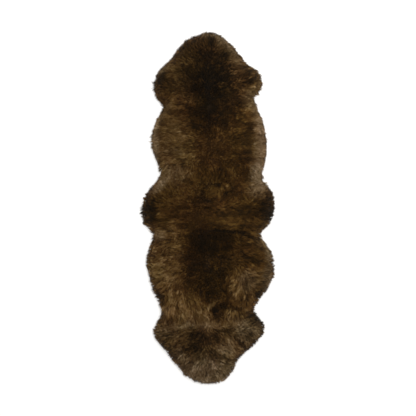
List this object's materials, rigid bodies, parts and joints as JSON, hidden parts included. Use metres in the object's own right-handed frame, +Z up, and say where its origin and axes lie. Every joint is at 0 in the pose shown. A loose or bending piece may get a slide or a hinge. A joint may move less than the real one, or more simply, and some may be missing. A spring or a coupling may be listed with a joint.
{
  "type": "sheepskin rug",
  "caption": "Long double sheepskin rug: pelts sewn rump to rump at a straight seam, lying flat with their long dark brown wool up.",
  "frame": {"origin": "on the floor, under the middle of the seam that joins the two pelts", "axes": "+Z up out of the wool; +Y along the rug from the seam to the neck of the upper pelt, with the lower pelt along -Y; +X across the rug, to the right of the picture"},
  "size_m": [0.6848, 1.7996, 0.059],
  "materials": {
    "brown_wool": "long, dense, undyed dark brown sheep's wool in soft staples, matte with a faint sheen along the fibres"
  },
  "bodies": {
    "root": {"upper_pelt": "brown_wool", "lower_pelt": "brown_wool"}
  },
  "joints": []
}
